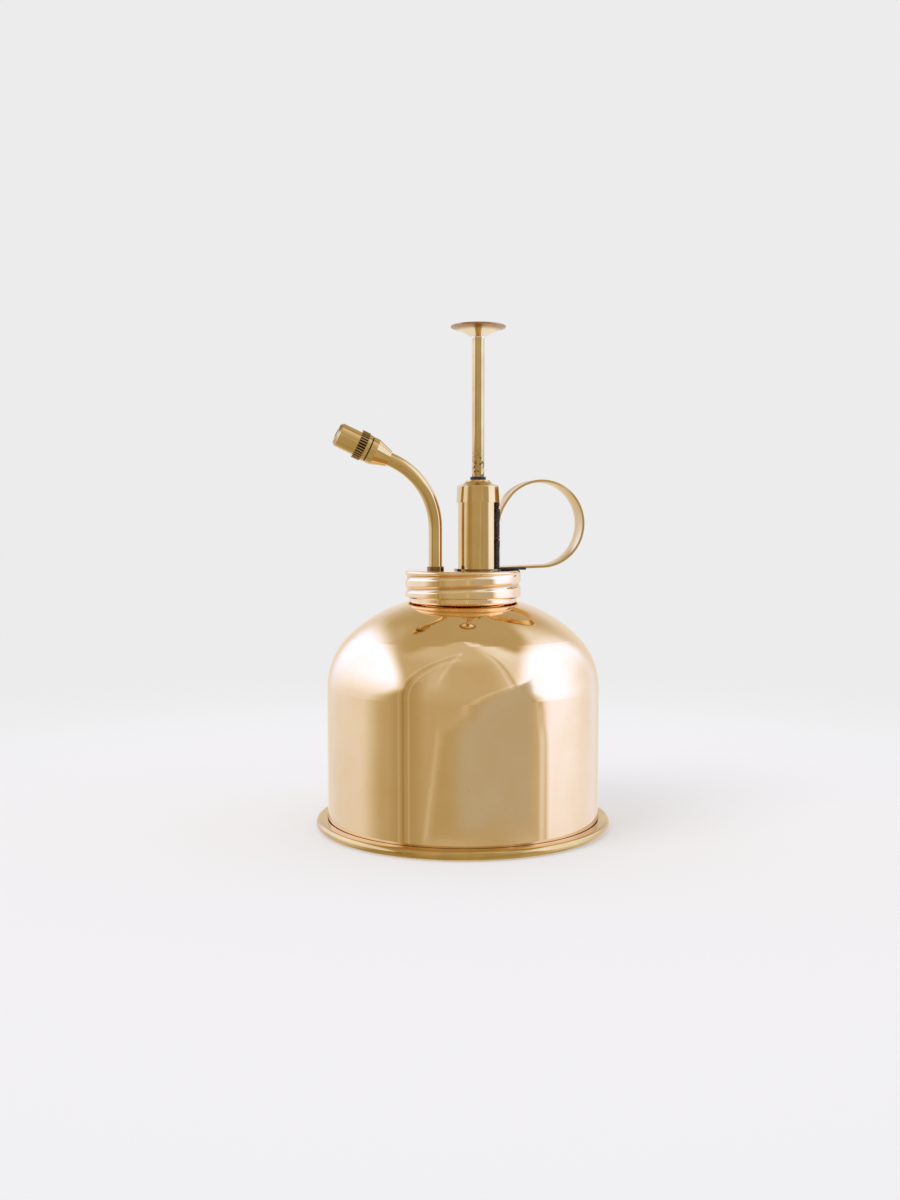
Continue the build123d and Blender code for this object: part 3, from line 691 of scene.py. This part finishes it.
def build_cap(material):
    """The screw cap with its thread as a real helix rolled through the sheet."""
    low_corner, high_corner = (Vector(corner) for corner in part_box("pump_cap"))
    radius = (high_corner.x - low_corner.x) / 2
    low, high = low_corner.z, high_corner.z
    outside = cap_profile(radius, low, high, CAP_EDGE_R, CAP_HEM_ROUND)
    inside = cap_profile(
        radius - CAP_SHEET, low, high - CAP_SHEET, CAP_EDGE_R / 2, CAP_HEM_ROUND / 2, CAP_HEM_ROUND / 2
    )
    columns = 288
    points = []
    for ring_r, height in outside + inside[::-1]:
        for column in range(columns):
            angle = 2 * pi * column / columns
            pressed = thread_offset(height, angle, low, high) if ring_r > radius - 2 * CAP_SHEET else 0.0
            reach = ring_r - pressed
            points.append((reach * cos(angle), reach * sin(angle), height))
    rows = len(outside) + len(inside)
    faces = grid_faces(rows, columns)
    faces.append(tuple(range(columns)))
    last = (rows - 1) * columns
    faces.append(tuple(reversed(range(last, last + columns))))
    cap = new_piece("threaded_cap", points, faces, material, "pump_head")
    barrel_low, barrel_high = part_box("pump_barrel")
    barrel = ((barrel_high[1] - barrel_low[1]) / 2 + BORE_GAP, (barrel_low[0] + barrel_high[0]) / 2, 0.0)
    ferrule_low, ferrule_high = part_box("spout_ferrule")
    tube_low, tube_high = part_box("spout_tube")
    spout_x = (ferrule_low[0] + ferrule_high[0]) / 2
    spout = ((tube_high[1] - tube_low[1]) / 2 + BORE_GAP, spout_x, 0.0)
    cut_bores(cap, (barrel, spout, (VENT_R, 0.0, VENT_Y)), high - 0.003, high + 0.003)
    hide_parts("pump_cap")


def build_solder(material):
    """Dark solder over both edges of the finger loop's leg and along its foot: solder joints, darkened
    as painted shade and as painted shadow under the foot.
    """
    barrel_low, barrel_high = (Vector(corner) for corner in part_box("pump_barrel"))
    strap_low, strap_high = (Vector(corner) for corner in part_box("handle_strap"))
    axis = (barrel_low + barrel_high) / 2
    barrel_r = (barrel_high.y - barrel_low.y) / 2
    half_width = (strap_high.y - strap_low.y) / 2
    reach = barrel_r + STRAP_SHEET / 2
    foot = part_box("barrel_collar")[1][2]
    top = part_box("barrel_cap")[0][2]
    steps = 40
    for name, side in (("solder_and_shade_front", -1), ("solder_and_shade_back", 1)):
        edge = side * (half_width + SOLDER_R / 4)
        angle = edge / reach
        line = []
        for step in range(steps + 1):
            wobble = SOLDER_WOBBLE * sin(0.5 * step) * sin(0.17 * step + side)
            height = foot + (top - foot) * step / steps
            out = reach + wobble
            line.append(Vector((axis.x + out * cos(angle), axis.y + out * sin(angle), height)))
        points, faces = swept_tube(line, SOLDER_R, 10)
        new_piece(name, points, faces, material, "pump_head")
        # Painted shadow under the loop's foot, as a thin dark bead along the solder line
        start = axis.x + barrel_r
        along = [Vector((start + SOLDER_FOOT_LENGTH * step / 20, edge, foot)) for step in range(21)]
        points, faces = swept_tube(along, SOLDER_R / 2, 8)
        new_piece(f"{name}_foot", points, faces, material, "pump_head")


def build_gap_ring(material):
    """Black ring round the nozzle's spigot, in the gap that the nozzle cap leaves."""
    turn = Matrix.Rotation(-nozzle_tilt, 4, "Y")
    turn.translation = Vector(nozzle_joint["pos_m"])
    round_over = (GAP_END - GAP_START) / 4
    profile = (
        (SPIGOT_R, GAP_START),
        (GAP_R - round_over, GAP_START),
        (GAP_R, GAP_START + round_over),
        (GAP_R, GAP_END - round_over),
        (GAP_R - round_over, GAP_END),
        (SPIGOT_R, GAP_END),
    )
    columns = 72
    points = []
    for radius, height in profile:
        for column in range(columns):
            angle = 2 * pi * column / columns
            points.append(turn @ Vector((radius * cos(angle), radius * sin(angle), height)))
    faces = grid_faces(len(profile), columns, closed_rows=True)
    new_piece("nozzle_gap_ring", points, faces, material, "pump_head")


looks = {
    "polished_brass": polished_brass("head_brass_look", HEAD_BRASS),
    "turned_brass": turned_brass(),
    "black_rubber": black_rubber(),
    "oiled_leather": oiled_leather(),
    "stainless_steel": stainless_steel(),
}
for part in record["subparts"]:
    nodes[part["node"]].data.materials[0] = looks[part["material_slot"]]

cap_look = polished_brass("cap_brass_look", BODY_BRASS, thread_valley_darkening)
brown_look = polished_brass("brown_brass_look", BROWN_BRASS)
own_looks = {
    "body_shell": polished_brass("reservoir_brass_look", BODY_BRASS, wall_foot_dark_line),
    "base_pan": polished_brass("pan_brass_look", PAN_BRASS),
    "neck_ring": polished_brass("neck_brass_look", BODY_BRASS),
    "thumb_knob": polished_brass("knob_brass_painted_reflection_look", KNOB_BRASS_PAINTED_REFLECTION, knob_brown_top, marks_and_shade_colour=KNOB_TOP_BROWN),
    "barrel_collar": brown_look,
    "spout_ferrule": brown_look,
    "plunger_rod": polished_brass("rod_brass_painted_shade_look", ROD_BRASS_PAINTED_SHADE, rod_tarnish),
    "nozzle_base": polished_brass("nozzle_brass_look", HEAD_BRASS, knurl_darkening_and_painted_front_shade, on_nozzle=True),
    "nozzle_cap": polished_brass("knurled_brass_look", HEAD_BRASS, knurl_darkening_and_painted_front_shade, on_nozzle=True),
}
for node, look in own_looks.items():
    nodes[node].data.materials[0] = look

build_cap(cap_look)
build_spring(
    "return_coil",
    "return_spring",
    RETURN_WIRE_R,
    RETURN_TURNS,
    looks["stainless_steel"],
)
build_spring(
    "outlet_coil",
    "outlet_spring",
    OUTLET_WIRE_R,
    OUTLET_TURNS,
    looks["stainless_steel"],
)
build_solder(solder_and_painted_shade())
build_gap_ring(looks["black_rubber"])

build_studio()
build_floor()
build_lamp()
build_camera()
scene.view_settings.view_transform = "Standard"
